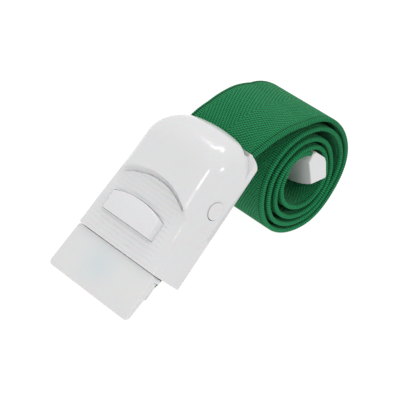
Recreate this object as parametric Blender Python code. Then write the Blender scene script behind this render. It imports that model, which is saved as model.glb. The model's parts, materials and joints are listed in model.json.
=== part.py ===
"""Quick-release tourniquet: a two-lever buckle on a green elastic strap.

Lengths are millimetres, turned into metres where meshes are made.  Everything in the buckle is
drawn in the buckle's own frame: x runs from the plug's front edge to the housing's rear, y runs
across, z stands up from the housing's underside.  The buckle leans on the front edge of its plug
and on the coiled strap, so that frame is tilted about Y.
"""

import math

import bmesh
import bpy
from mathutils import Matrix, Vector

MM = 0.001
GAP = 0.3

# Driving dimensions of the buckle
LEAN = math.radians(42.6)
SHELL_FRONT = 13.8
SHELL_REAR = 58.2
SHELL_HALF = 17.2
SHELL_HEIGHT = 14.0
SHELL_WALL = 1.6
FRONT_HEIGHT = 12.3
HOOD_START = 31.0
HOOD_TOP = 38.0
ROLL_FRONT = 2.9
ROLL_HOOD = 4.5
ROLL_DOME = 7.4
ROLL_REAR = 4.0
ROOF_HEIGHT = 10.6
DOME_START = 46.0
DOME_FOOT = 4.0
HEEL_RADIUS = 6.0
HEEL_FRONT = 51.2
REAR_BULGE = 2.4
TAPER = 0.04
DRAFT = 0.03
GRIP_HEIGHT = 12.1
GRIP_REAR = 37.5
GRIP_ARC = 25.0
CLAMP_TOP = 9.7
PIVOT_X = 37.8
PIVOT_Z = 5.5
STUD_RADIUS = 2.35
PIN_RADIUS = 1.2

# Base frame
FLOOR_BOTTOM = 0.2
FLOOR_TOP = 1.4
FLOOR_FRONT = 15.2
RAIL_IN = 13.0
RAIL_OUT = 14.0
RAIL_TOP = 7.0

# Strap
STRAP_WIDTH = 25.0
STRAP_THICK = 1.3
STRAP_MID = FLOOR_TOP + GAP + STRAP_THICK / 2
STRAP_ENTRY = 14.9
STRAP_EXIT = 57.0

# Plug
PLUG_HALF = 17.1
PLUG_REAR = 12.0
PLUG_TOP = 11.7
PLUG_BOTTOM = 8.6
TONGUE_BOTTOM = 6.3
TONGUE_TOP = 7.7
TONGUE_END = 27.0
TONGUE_HALF = 6.5
BAR_X = 9.2
BAR_Z = 5.8
BAR_RADIUS = 0.9

# Release button and latch leaf
PAD_FRONT = 21.3
PAD_SIDE_END = 26.8
PAD_REAR = 29.8
PAD_HALF = 9.4
PAD_TOP = 13.3
LEAF_BOTTOM = 4.8
LEAF_TOP = 5.4
BRIDGE_FRONT = 28.0
BRIDGE_REAR = 34.0
BRIDGE_BOTTOM = LEAF_TOP + GAP
BRIDGE_TOP = 6.7

# Coil of strap: centre behind the plug's resting edge, and the distance from that centre to the
# middle of the strap at the top, right, bottom and left of each turn, outermost turn first
COIL_X = 68.0
COIL_Z = 17.5
COIL_TURNS = (
    (18.5, 15.8, 16.8, 15.3),
    (13.9, 13.6, 15.0, 12.1),
    (11.2, 11.4, 12.9, 9.6),
    (8.4, 9.0, 9.7, 7.4),
)
CLIP_HALF = 13.2

# The buckle stands on the plug's lower front edge, and the whole part is centred over the origin
EDGE_X = PLUG_BOTTOM * math.sin(LEAN)
EDGE_Z = -PLUG_BOTTOM * math.cos(LEAN)
PART_FRONT = EDGE_X - PLUG_TOP * math.sin(LEAN)
PART_REAR = COIL_X + COIL_TURNS[0][1] + STRAP_THICK / 2
CENTRING = -(PART_FRONT + PART_REAR) / 2

WHITE = ((0.80, 0.80, 0.80, 1.0), 0.28, 0.0)
WARM_WHITE = ((0.74, 0.74, 0.72, 1.0), 0.35, 0.0)
GREEN = ((0.020, 0.190, 0.065, 1.0), 0.85, 0.0)
STEEL = ((0.55, 0.56, 0.58, 1.0), 0.30, 1.0)
THREAD = ((0.030, 0.240, 0.090, 1.0), 0.80, 0.0)


# Scene and object helpers

def clear_scene():
    """Remove every object of the open file."""
    for obj in list(bpy.data.objects):
        bpy.data.objects.remove(obj, do_unlink=True)


def finish_of(name, finish):
    """Make a Principled material from a colour, a roughness and a metallic value."""
    colour, roughness, metallic = finish
    material = bpy.data.materials.new(name)
    material.use_nodes = True
    shader = material.node_tree.nodes["Principled BSDF"]
    shader.inputs["Base Color"].default_value = colour
    shader.inputs["Roughness"].default_value = roughness
    shader.inputs["Metallic"].default_value = metallic
    return material


def object_from(name, bm, finish=None, origin=(0, 0, 0), parent=None, smooth=35):
    """Turn a millimetre bmesh into an object whose origin is at origin."""
    bmesh.ops.remove_doubles(bm, verts=bm.verts, dist=0.001)
    bmesh.ops.recalc_face_normals(bm, faces=bm.faces)
    bm.transform(Matrix.Translation(-Vector(origin)))
    bm.transform(Matrix.Scale(MM, 4))
    mesh = bpy.data.meshes.new(name)
    bm.to_mesh(mesh)
    bm.free()
    mesh.shade_smooth()
    mesh.set_sharp_from_angle(angle=math.radians(smooth))
    obj = bpy.data.objects.new(name, mesh)
    bpy.context.scene.collection.objects.link(obj)
    obj.location = Vector(origin) * MM
    obj.parent = parent
    if finish:
        mesh.materials.append(finish_of(name, finish))
    return obj


def boolean(target, tool, operation="DIFFERENCE"):
    """Cut tool from target, or join it to target, and hide the tool."""
    tool.hide_render = True
    tool.display_type = "WIRE"
    modifier = target.modifiers.new(tool.name, "BOOLEAN")
    modifier.operation = operation
    modifier.solver = "EXACT"
    modifier.object = tool


# Solids

def loft(rings):
    """Skin closed rings of equal length and cap both ends."""
    bm = bmesh.new()
    loops = [[bm.verts.new(point) for point in ring] for ring in rings]
    count = len(loops[0])
    for low, high in zip(loops, loops[1:]):
        for i in range(count):
            j = (i + 1) % count
            bm.faces.new((low[i], low[j], high[j], high[i]))
    bm.faces.new(loops[0])
    bm.faces.new(loops[-1])
    return bm


def side_prism(outline, half, centre=0.0):
    """Extrude an outline of (x, z) points across the buckle."""
    rings = [[(x, y, z) for x, z in outline] for y in (centre - half, centre + half)]
    return loft(rings)


def plan_prism(outline, low, high):
    """Extrude an outline of (x, y) points upwards from low to high."""
    return loft([[(x, y, z) for x, y in outline] for z in (low, high)])


def block(x_range, y_range, z_range):
    """A rectangular block given by its ranges."""
    corners = [(x_range[0], y_range[0]), (x_range[1], y_range[0]),
               (x_range[1], y_range[1]), (x_range[0], y_range[1])]
    return plan_prism(corners, *z_range)


def cross_cylinder(x, z, radius, y_range, sides=24):
    """A cylinder lying across the buckle."""
    outline = [(x + radius * math.cos(2 * math.pi * i / sides),
                z + radius * math.sin(2 * math.pi * i / sides)) for i in range(sides)]
    return loft([[(px, y, pz) for px, pz in outline] for y in y_range])


def upright_turning(x, y, profile, sides=20):
    """Turn a profile of (radius, z) points about an upright axis."""
    rings = []
    for radius, z in profile:
        angles = [2 * math.pi * i / sides for i in range(sides)]
        rings.append([(x + radius * math.cos(a), y + radius * math.sin(a), z) for a in angles])
    return loft(rings)


def bevel_edges(bm, chooser, width, segments=3):
    """Round the edges that chooser picks."""
    edges = [edge for edge in bm.edges if chooser(edge)]
    bmesh.ops.bevel(bm, geom=edges, offset=width, segments=segments, profile=0.5,
                    affect="EDGES", clamp_overlap=True)
    return bm


def both_ends_at(z):
    """Pick the edges that lie at height z."""
    return lambda edge: all(abs(vert.co.z - z) < 1e-4 for vert in edge.verts)


def ribbon(points, width=STRAP_WIDTH, thick=STRAP_THICK):
    """A flat strip of strap whose middle follows (x, z) points."""
    count = len(points)
    upper, lower = [], []
    for i, (x, z) in enumerate(points):
        x0, z0 = points[max(i - 1, 0)]
        x1, z1 = points[min(i + 1, count - 1)]
        along = Vector((x1 - x0, z1 - z0)).normalized()
        upper.append((x - along.y * thick / 2, z + along.x * thick / 2))
        lower.append((x + along.y * thick / 2, z - along.x * thick / 2))
    bm = bmesh.new()
    rows = []
    for (ux, uz), (lx, lz) in zip(upper, lower):
        corners = ((ux, -width / 2, uz), (ux, width / 2, uz),
                   (lx, width / 2, lz), (lx, -width / 2, lz))
        rows.append([bm.verts.new(corner) for corner in corners])
    for low, high in zip(rows, rows[1:]):
        for i in range(4):
            j = (i + 1) % 4
            bm.faces.new((low[i], low[j], high[j], high[i]))
    bm.faces.new(rows[0])
    bm.faces.new(rows[-1])
    return bm


def curve_through(points, steps=8):
    """Read a Catmull-Rom curve through (x, z) points."""
    ends = [points[0]] + list(points) + [points[-1]]
    result = []
    for p0, p1, p2, p3 in zip(ends, ends[1:], ends[2:], ends[3:]):
        for step in range(steps):
            t = step / steps
            result.append(tuple(
                0.5 * (2 * b + (c - a) * t + (2 * a - 5 * b + 4 * c - d) * t * t
                       + (3 * b - a - 3 * c + d) * t ** 3)
                for a, b, c, d in zip(p0, p1, p2, p3)))
    result.append(points[-1])
    return result


def wire(name, points, radius, finish, parent):
    """A round wire along (x, y, z) points, as a curve with filled caps."""
    curve = bpy.data.curves.new(name, "CURVE")
    curve.dimensions = "3D"
    curve.bevel_depth = radius * MM
    curve.bevel_resolution = 1
    curve.use_fill_caps = True
    spline = curve.splines.new("POLY")
    spline.points.add(len(points) - 1)
    for target, point in zip(spline.points, points):
        target.co = (*(Vector(point) * MM), 1.0)
    curve.materials.append(finish_of(name, finish))
    obj = bpy.data.objects.new(name, curve)
    bpy.context.scene.collection.objects.link(obj)
    obj.parent = parent
    return obj


# Cover shell

def ramp(x, knots):
    """Read a value at x from (x, value) knots joined by straight lines."""
    if x <= knots[0][0]:
        return knots[0][1]
    for (x0, v0), (x1, v1) in zip(knots, knots[1:]):
        if x <= x1:
            return v0 + (v1 - v0) * (x - x0) / (x1 - x0)
    return knots[-1][1]


def shell_outline():
    """Side view of the shell as (x, z, inward x, inward z, roll radius of the long edge).

    It runs up the front, back along the rising top, down the quarter-ellipse dome and round the
    heel.  The long edges are rolled tightly at the front and widely beside the dome.
    """
    points = [(SHELL_FRONT, 0.0, 0.0, 0.0, 0.0)]
    for x in (SHELL_FRONT, 19.5, 25.2, HOOD_START, 33.3, 35.6, HOOD_TOP, 42.0):
        roll = ramp(x, ((SHELL_FRONT, ROLL_FRONT), (HOOD_START, ROLL_HOOD), (HOOD_TOP, ROLL_DOME)))
        height = ramp(x, ((HOOD_START, FRONT_HEIGHT), (HOOD_TOP, SHELL_HEIGHT)))
        points.append((x, height, 0.0, -1.0, roll))
    across, down = SHELL_REAR - DOME_START, SHELL_HEIGHT - DOME_FOOT
    limit = math.acos((HEEL_RADIUS - DOME_FOOT) / down)
    for i in range(10):
        angle = limit * i / 9
        sine, cosine = math.sin(angle), math.cos(angle)
        inward = Vector((-sine / across, -cosine / down)).normalized()
        roll = ROLL_DOME + (ROLL_REAR - ROLL_DOME) * i / 9
        points.append((DOME_START + across * sine, DOME_FOOT + down * cosine, *inward, roll))
    rear = points[-1][0]
    for i in range(1, 6):
        angle = math.pi / 2 * i / 5
        sine, cosine = math.sin(angle), math.cos(angle)
        points.append((rear - HEEL_RADIUS * (1 - cosine), HEEL_RADIUS * (1 - sine),
                       -cosine, sine, ROLL_REAR * cosine))
    return points


def shell_ring(outline, edge_angle, y_share, wall=0.0):
    """One ring of the shell, at an angle round the rolled edge or at a share of the flat top.

    A wall above zero gives the hollow: offset by the wall, flat under the roof, open below.
    """
    ring = []
    for x, z, inward_x, inward_z, roll in outline:
        reach = max(roll - wall, 0.05)
        inset = reach * (1 - math.sin(edge_angle))
        y = (SHELL_HALF - wall - reach * (1 - math.cos(edge_angle))) * y_share
        if wall and inward_z < -0.5:
            z = min(z, ROOF_HEIGHT + wall)
        if wall and inward_x == inward_z == 0.0:
            ring.append(shape_shell((x + wall, y, -2.0)))
            continue
        offset_x = max(inset + wall, 0.0) * inward_x
        offset_z = max(inset + wall, 0.0) * inward_z
        front = wall if x == SHELL_FRONT else 0.0
        ring.append(shape_shell((x + offset_x + front, y, z + offset_z)))
    if wall:
        last = ring[-1]
        ring.append((HEEL_FRONT - 0.6, last[1], last[2]))
        ring.append((HEEL_FRONT - 0.6, last[1], -2.0))
    return ring


def shape_shell(point):
    """Give a shell point the plan bulge of the rear, the taper and the side draft."""
    x, y, z = point
    if x > DOME_START:
        x -= REAR_BULGE * (y / SHELL_HALF) ** 2 * (x - DOME_START) / (SHELL_REAR - DOME_START)
    y *= 1 - TAPER * (x - SHELL_FRONT) / (SHELL_REAR - SHELL_FRONT)
    y *= 1 - DRAFT * z / SHELL_HEIGHT
    return (x, y, z)


def shell_solid(wall=0.0):
    """Loft the shell's side view from one side wall over the top to the other."""
    outline = shell_outline()
    steps = 5
    near = [(math.pi / 2 * i / steps, 1.0) for i in range(steps + 1)]
    stations = near + [(math.pi / 2, 0.5), (math.pi / 2, 0.0), (math.pi / 2, -0.5)]
    stations += [(angle, -1.0) for angle, _ in reversed(near)]
    return loft([shell_ring(outline, angle, share, wall) for angle, share in stations])


def grip_recess():
    """The space over the ribbed thumb area: it ends in a round step under the dome."""
    half_angle = math.asin(20.0 / GRIP_ARC)
    arc = [half_angle * (i / 8 - 1) for i in range(17)]
    outline = [(GRIP_REAR - GRIP_ARC * (1 - math.cos(a)), GRIP_ARC * math.sin(a)) for a in arc]
    outline += [(SHELL_FRONT - 5, 20), (SHELL_FRONT - 5, -20)]
    return plan_prism(outline, GRIP_HEIGHT, SHELL_HEIGHT + 3)


def pad_outline(grow=0.0, rear_grow=0.0):
    """Plan of the release pad: straight front and sides, round rear."""
    half = PAD_HALF + grow
    sagitta = PAD_REAR - PAD_SIDE_END
    radius = (half ** 2 + sagitta ** 2) / (2 * sagitta)
    limit = math.asin(half / radius)
    outline = [(PAD_FRONT - grow, -half)]
    for i in range(13):
        angle = limit * (i / 6 - 1)
        rear = PAD_REAR + rear_grow - radius * (1 - math.cos(angle))
        outline.append((rear, radius * math.sin(angle)))
    outline.append((PAD_FRONT - grow, half))
    return outline


def make_cover(frame):
    """The cover: hollow shell that rocks on the pivot studs, with a slotted seat for the teeth."""
    origin = (PIVOT_X, 0, PIVOT_Z)
    cover = object_from("cover_shell", shell_solid(), WHITE, origin, frame)
    inner = SHELL_HALF - SHELL_WALL - 0.1
    seats = [
        ("cover_grip_cut", grip_recess()),
        ("cover_hollow_cut", shell_solid(SHELL_WALL)),
        ("cover_mouth_cut", block((10, SHELL_FRONT + 2.2), (-inner, inner), (-3, 9.4))),
        ("cover_slot_cut", block((50, 62), (-RAIL_IN, RAIL_IN), (-3, DOME_FOOT))),
        ("cover_pad_cut", plan_prism(pad_outline(GAP, 0.5), 8, 16)),
        ("cover_pivot_cut", cross_cylinder(PIVOT_X, PIVOT_Z, STUD_RADIUS + 0.3, (-20, 20))),
    ]
    for name, bm in seats:
        boolean(cover, object_from(name, bm, parent=frame))
    for name, front in (("cover_rib_front", 45.4), ("cover_rib_rear", 48.2)):
        rib = block((front, front + 1.0), (-12.0, 12.0), (7.5, 11.4))
        boolean(cover, object_from(name, rib, parent=frame), "UNION")
    return cover


def make_clamp_bar(frame):
    """Toothed steel strip in the cover that pinches the strap against the floor."""
    low = STRAP_MID + STRAP_THICK / 2 + GAP
    teeth = 12
    half = 12.0
    outline = [(-half, CLAMP_TOP)]
    for i in range(teeth):
        left = -half + 2 * half * i / teeth
        outline += [(left, low + 0.9), (left + half / teeth, low)]
    outline += [(half, low + 0.9), (half, CLAMP_TOP)]
    bm = loft([[(x, y, z) for y, z in outline] for x in (46.7, 47.9)])
    object_from("clamp_bar", bm, STEEL, (PIVOT_X, 0, PIVOT_Z), frame, 20)


# Base frame and its fittings

def make_base(frame):
    """Floor, side rails, tongue ledges and the bridge that carries latch and button spring."""
    floor = block((FLOOR_FRONT, 49.8), (-RAIL_OUT, RAIL_OUT), (FLOOR_BOTTOM, FLOOR_TOP))
    base = object_from("base_frame", floor, WARM_WHITE, parent=frame, smooth=20)
    lip = block((48.8, 56.6), (-12.6, 12.6), (FLOOR_BOTTOM, FLOOR_TOP))
    boolean(base, object_from("base_lip", lip, parent=frame), "UNION")
    for side, sign in (("near", -1), ("far", 1)):
        y_range = sorted((sign * RAIL_IN, sign * RAIL_OUT))
        outline = [(16.0, 0.6), (49.8, 0.6), (49.8, RAIL_TOP - 3), (47.0, RAIL_TOP)]
        outline += [(40.0, 7.7), (35.6, 7.7), (34.0, RAIL_TOP), (16.0, RAIL_TOP)]
        half = (RAIL_OUT - RAIL_IN) / 2
        rail = side_prism(outline, half, sum(y_range) / 2)
        boolean(base, object_from("base_rail_" + side, rail, parent=frame), "UNION")
        ledge = block((16.4, 20.0), sorted((sign * 9.6, sign * (RAIL_IN + 0.4))), (4.9, 5.6))
        boolean(base, object_from("base_ledge_" + side, ledge, parent=frame), "UNION")
    reach = RAIL_IN + 0.4
    bridge = block((BRIDGE_FRONT, BRIDGE_REAR), (-reach, reach), (BRIDGE_BOTTOM, BRIDGE_TOP))
    boolean(base, object_from("base_bridge", bridge, parent=frame), "UNION")
    for side, y in (("near", -5.0), ("far", 5.0)):
        hole = upright_turning(31.8, y, ((1.1, 5.0), (1.1, 8.0)))
        boolean(base, object_from("base_rivet_cut_" + side, hole, parent=frame))
    bore = cross_cylinder(PIVOT_X, PIVOT_Z, PIN_RADIUS + 0.3, (-20, 20))
    boolean(base, object_from("base_pivot_cut", bore, parent=frame))


def make_pivot_pin(frame):
    """One moulded pin across the buckle with the two round studs seen in the side walls."""
    reach = SHELL_HALF - 0.6
    profile = [(PIN_RADIUS, 0.0), (PIN_RADIUS, RAIL_OUT + 0.3), (STUD_RADIUS, RAIL_OUT + 0.3),
               (STUD_RADIUS, reach - 0.3), (STUD_RADIUS - 0.4, reach)]
    full = [(radius, -y) for radius, y in reversed(profile[1:])] + profile[1:]
    sides = 28
    angles = [2 * math.pi * i / sides for i in range(sides)]
    rings = [[(PIVOT_X + r * math.cos(a), y, PIVOT_Z + r * math.sin(a)) for a in angles]
             for r, y in full]
    object_from("pivot_pin", loft(rings), WHITE, (PIVOT_X, 0, PIVOT_Z), frame)


def make_cover_springs(frame):
    """Two torsion springs on the pivot pin that press the clamp bar down."""
    radius, turns, per_turn = 1.75, 3.5, 12
    for side, sign in (("near", -1), ("far", 1)):
        points = [(30.6, sign * 8.6, 9.4), (34.0, sign * 8.6, 8.1)]
        for i in range(int(turns * per_turn) + 1):
            angle = math.pi * 0.6 - 2 * math.pi * i / per_turn
            y = sign * (8.6 + 3.3 * i / (turns * per_turn))
            points.append((PIVOT_X + radius * math.cos(angle), y,
                           PIVOT_Z + radius * math.sin(angle)))
        last = points[-1]
        points.append((last[0] + 3.0, last[1], last[2] + 0.2))
        wire("cover_spring_" + side, points, 0.22, STEEL, frame)


def make_latch(frame):
    """Spring leaf with an upturned hook in the tongue's window, and its two rivets."""
    half = 8.8
    leaf = object_from("latch_leaf",
                       block((19.0, 33.4), (-half, half), (LEAF_BOTTOM, LEAF_TOP)),
                       STEEL, parent=frame)
    hook_outline = [(19.3, LEAF_BOTTOM + 0.1), (20.9, LEAF_BOTTOM + 0.1),
                    (20.9, TONGUE_BOTTOM + 0.4), (19.9, TONGUE_BOTTOM + 1.0),
                    (19.3, TONGUE_BOTTOM + 1.0)]
    hook = object_from("latch_hook_join", side_prism(hook_outline, 3.0), parent=frame)
    boolean(leaf, hook, "UNION")
    for side, y in (("near", -5.0), ("far", 5.0)):
        hole = upright_turning(31.8, y, ((1.1, 4.0), (1.1, 6.0)))
        boolean(leaf, object_from("latch_rivet_cut_" + side, hole, parent=frame))
        profile = ((1.6, 3.9), (1.6, LEAF_BOTTOM - GAP), (0.8, LEAF_BOTTOM - GAP),
                   (0.8, BRIDGE_TOP + GAP), (1.6, BRIDGE_TOP + GAP), (1.2, BRIDGE_TOP + 0.8))
        object_from("latch_rivet_" + side, upright_turning(31.8, y, profile), STEEL, parent=frame)


# Release button

def make_button(frame):
    """The pad in the thumb area and the carrier that reaches round the tongue to the leaf."""
    origin = (25.5, 0, PAD_TOP)
    bm = plan_prism(pad_outline(), 9.7, PAD_TOP)
    bevel_edges(bm, both_ends_at(PAD_TOP), 0.9)
    object_from("release_pad", bm, WHITE, origin, frame)
    plate = block((20.9, 30.0), (-10.2, 10.2), (8.8, 9.4))
    carrier = object_from("pad_carrier", plate, WARM_WHITE, origin, frame, 20)
    for side, sign in (("near", -1), ("far", 1)):
        stem = block((22.0, 23.6), sorted((sign * 7.3, sign * 8.7)), (LEAF_TOP + GAP, 8.9))
        boolean(carrier, object_from("carrier_stem_" + side, stem, parent=frame), "UNION")


def make_button_spring(frame):
    """Small compression spring between the bridge and the pad's carrier."""
    turns, per_turn, radius = 2.5, 12, 1.1
    low, high = BRIDGE_TOP + 0.45, 8.35
    points = []
    for i in range(int(turns * per_turn) + 1):
        angle = 2 * math.pi * i / per_turn
        z = low + (high - low) * i / (turns * per_turn)
        points.append((29.6 + radius * math.cos(angle), radius * math.sin(angle), z))
    wire("pad_spring", points, 0.15, STEEL, frame)


# Plug

def rounded_plan(x_range, half, radius, steps=5):
    """A rectangle in plan with four round corners."""
    outline = []
    corners = ((x_range[0], -half, 180), (x_range[1], -half, 270),
               (x_range[1], half, 0), (x_range[0], half, 90))
    for x, y, start in corners:
        cx = x + radius * (1 if x == x_range[0] else -1)
        cy = y + radius * (1 if y < 0 else -1)
        for i in range(steps + 1):
            angle = math.radians(start + 90 * i / steps)
            outline.append((cx + radius * math.cos(angle), cy + radius * math.sin(angle)))
    return outline


def make_plug(frame):
    """The plug: outer cap, inner core with shoulders and tongue, and the bar for the strap."""
    origin = (BAR_X, 0, BAR_Z)
    cap_plan = rounded_plan((0.0, PLUG_REAR), PLUG_HALF, 1.6)
    cap = bevel_edges(plan_prism(cap_plan, PLUG_BOTTOM, PLUG_TOP), both_ends_at(PLUG_TOP), 0.8)
    object_from("plug_cap", cap, WHITE, origin, frame)

    plate = block((3.0, 5.6), (-13.9, 13.9), (TONGUE_BOTTOM, PLUG_BOTTOM - GAP))
    core = object_from("plug_core", plate, WARM_WHITE, origin, frame, 20)
    pieces = [
        ("core_neck", block((12.3, 17.0), (-12.4, 12.4), (TONGUE_BOTTOM, TONGUE_TOP))),
        ("core_tongue", block((16.5, TONGUE_END), (-TONGUE_HALF, TONGUE_HALF),
                              (TONGUE_BOTTOM, TONGUE_TOP))),
    ]
    for side, sign in (("near", -1), ("far", 1)):
        rail_y = sorted((sign * 12.9, sign * 14.0))
        pieces.append(("core_rail_" + side, block((4.6, 13.2), rail_y, (4.8, 8.3))))
        web_y = sorted((sign * 11.9, sign * 13.4))
        pieces.append(("core_web_" + side, block((12.3, 13.2), web_y, (6.4, 7.6))))
        shoulder = side_prism(shoulder_outline(), 1.7, sign * 15.1)
        pieces.append(("core_shoulder_" + side, shoulder))
    for name, bm in pieces:
        boolean(core, object_from(name, bm, parent=frame), "UNION")
    window = block((19.0, 21.4), (-3.4, 3.4), (5.5, 8.5))
    boolean(core, object_from("core_window_cut", window, parent=frame))
    bore = cross_cylinder(BAR_X, BAR_Z, BAR_RADIUS + 0.05, (-20, 20))
    boolean(core, object_from("core_bar_cut", bore, parent=frame))

    bar = cross_cylinder(BAR_X, BAR_Z, BAR_RADIUS, (-13.9, 13.9))
    object_from("strap_bar", bar, STEEL, origin, frame)


def shoulder_outline():
    """Side view of the shoulder behind the cap: a short block with a round rear edge."""
    outline = [(PLUG_REAR + GAP, 7.9), (PLUG_REAR + GAP, PLUG_TOP - 0.2)]
    mid = (PLUG_TOP - 0.2 + 7.9) / 2
    for i in range(7):
        angle = math.pi / 2 - math.pi * i / 6
        outline.append((12.6 + 0.6 * math.cos(angle), mid + 1.8 * math.sin(angle)))
    return outline


# Strap

def make_strap_in_buckle(frame):
    """The strap's loop on the plug's bar, its sewn end and the run through the housing."""
    turn = BAR_RADIUS + GAP + STRAP_THICK / 2
    loop = [(18.0, STRAP_MID + 1.6), (14.6, STRAP_MID + 1.6), (12.6, 4.6), (11.3, 6.6)]
    for i in range(9):
        angle = math.radians(70 + 180 * i / 8)
        loop.append((BAR_X + turn * math.cos(angle), BAR_Z + turn * math.sin(angle)))
    loop += [(11.4, 3.0), (13.2, STRAP_MID - 0.1), (STRAP_ENTRY - GAP, STRAP_MID)]
    path = curve_through(loop, 3)
    object_from("strap_loop", ribbon(path), GREEN, (BAR_X, 0, BAR_Z), frame)
    tack = block((15.4, 17.2), (-9.0, 9.0), (STRAP_MID + 2.55, STRAP_MID + 2.75))
    object_from("loop_stitching", tack, THREAD, (BAR_X, 0, BAR_Z), frame)
    run = ribbon([(STRAP_ENTRY, STRAP_MID), (36.0, STRAP_MID), (STRAP_EXIT, STRAP_MID)])
    object_from("strap_run", run, GREEN, parent=frame)


def to_world(x, z):
    """Take a buckle point to world (x, z)."""
    return (EDGE_X + x * math.cos(LEAN) - z * math.sin(LEAN),
            EDGE_Z + x * math.sin(LEAN) + z * math.cos(LEAN))


def coil_radius(turns):
    """Distance from the coil's centre to the strap after a number of turns from the top."""
    values = [radius for turn in COIL_TURNS for radius in turn]
    values = [values[0] + 1.4] + values + [values[-1] - 0.6] * 2
    place = turns * 4 + 1
    i = min(int(place), len(values) - 3)
    t = place - i
    a, b, c, d = values[i - 1], values[i], values[i + 1], values[i + 2]
    return 0.5 * (2 * b + (c - a) * t + (2 * a - 5 * b + 4 * c - d) * t * t
                  + (3 * b - a - 3 * c + d) * t ** 3)


def coil_point(turns, offset=0.0):
    """World (x, z) of the coiled strap, clockwise from the top as seen from the near side."""
    angle = math.pi / 2 - 2 * math.pi * turns
    radius = coil_radius(turns) + offset
    return (COIL_X + radius * math.cos(angle), COIL_Z + radius * math.sin(angle))


def make_strap_outside(ground):
    """The strap from the housing to the coil, and the coil as one solid ring."""
    start = to_world(STRAP_EXIT + GAP, STRAP_MID)
    second = to_world(STRAP_EXIT + 4.0, STRAP_MID - 0.9)
    lead = curve_through([start, second, (55.6, 36.7), (61.0, 37.0), coil_point(-0.015)], 5)
    object_from("strap_lead", ribbon(lead), GREEN, parent=ground)

    steps = 64
    outer = [coil_point(0.0 + i / steps, STRAP_THICK / 2) for i in range(steps + 1)]
    inner = [coil_point(len(COIL_TURNS) - 1 + i / steps, -STRAP_THICK / 2)
             for i in range(steps + 1)]
    inner[-1] = inner[0]
    bm = bmesh.new()
    sides = []
    for y in (-STRAP_WIDTH / 2, STRAP_WIDTH / 2):
        sides.append([[bm.verts.new((x, y, z)) for x, z in line] for line in (outer, inner[:-1])])
    (near_out, near_in), (far_out, far_in) = sides
    for i in range(steps):
        j = (i + 1) % steps
        bm.faces.new((near_out[i], near_out[i + 1], near_in[j], near_in[i]))
        bm.faces.new((far_out[i], far_in[i], far_in[j], far_out[i + 1]))
        bm.faces.new((near_in[i], near_in[j], far_in[j], far_in[i]))
        bm.faces.new((near_out[i], far_out[i], far_out[i + 1], near_out[i + 1]))
    bm.faces.new((near_out[0], near_in[0], near_out[-1]))
    bm.faces.new((far_out[0], far_out[-1], far_in[0]))
    bm.faces.new((near_out[0], near_out[-1], far_out[-1], far_out[0]))
    object_from("strap_coil", bm, GREEN, parent=ground)


def make_end_clip(ground):
    """Two halves of the end clip around the strap's free end, with a snap pin at each side."""
    top, bottom = (2.6, 5.2), (4.2, -3.0)
    tail = [(COIL_X + x, COIL_Z + z) for x, z in (top, bottom)]
    object_from("strap_end", ribbon(tail), GREEN, parent=ground)
    along = Vector((bottom[0] - top[0], bottom[1] - top[1])).normalized()
    across = Vector((along.y, -along.x))
    clear = STRAP_THICK / 2 + GAP
    for name, sign, thick in (("end_clip_inner", 1, 1.3), ("end_clip_outer", -1, 2.0)):
        outline = []
        for at, off in ((0.2, 0.0), (1.6, thick), (8.2, thick), (9.6, 0.6), (9.6, 0.0)):
            point = Vector(top) + along * at + across * sign * (clear + off)
            outline.append((COIL_X + point.x, COIL_Z + point.y))
        bm = side_prism(outline, CLIP_HALF)
        clip = object_from(name, bm, WHITE, parent=ground)
        for side, y in (("near", -12.85), ("far", 12.85)):
            hole = clip_pin(top, along, across, y, 0.2)
            boolean(clip, object_from(name + "_cut_" + side, hole, parent=ground))
    for side, y in (("near", -12.85), ("far", 12.85)):
        pin = clip_pin(top, along, across, y, 0.0)
        object_from("clip_pin_" + side, pin, WARM_WHITE, parent=ground)


def clip_pin(top, along, across, y, grow):
    """A short square pin through both clip halves beside the strap."""
    half, reach = 0.15 + grow, 1.6 + grow
    outline = []
    for at, off in ((4.0 - grow, -reach), (5.2 + grow, -reach), (5.2 + grow, reach),
                    (4.0 - grow, reach)):
        point = Vector(top) + along * at + across * off
        outline.append((COIL_X + point.x, COIL_Z + point.y))
    return side_prism(outline, half, y)


def make_frames():
    """Empties for the tilted buckle and for what lies on the ground."""
    ground = bpy.data.objects.new("ground_frame", None)
    buckle = bpy.data.objects.new("buckle_frame", None)
    for empty in (ground, buckle):
        bpy.context.scene.collection.objects.link(empty)
    ground.location = (CENTRING * MM, 0, 0)
    buckle.parent = ground
    buckle.location = (EDGE_X * MM, 0, EDGE_Z * MM)
    buckle.rotation_euler = (0, -LEAN, 0)
    return ground, buckle


def main():
    clear_scene()
    ground, buckle = make_frames()
    make_cover(buckle)
    make_clamp_bar(buckle)
    make_base(buckle)
    make_pivot_pin(buckle)
    make_cover_springs(buckle)
    make_latch(buckle)
    make_button(buckle)
    make_button_spring(buckle)
    make_plug(buckle)
    make_strap_in_buckle(buckle)
    make_strap_outside(ground)
    make_end_clip(ground)


main()
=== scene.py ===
"""Final looks of the quick-release tourniquet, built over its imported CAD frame.

Lengths are millimetres and turned into metres where meshes are made.  Pieces of the buckle are
drawn in the buckle's own frame (x from plug to housing, y across, z up from the underside), which
is placed by the frame's joints.  The coil is drawn in the row's frame.
"""

import json
import math

import bmesh
import bpy
import numpy as np
from mathutils import Matrix, Vector


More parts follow.
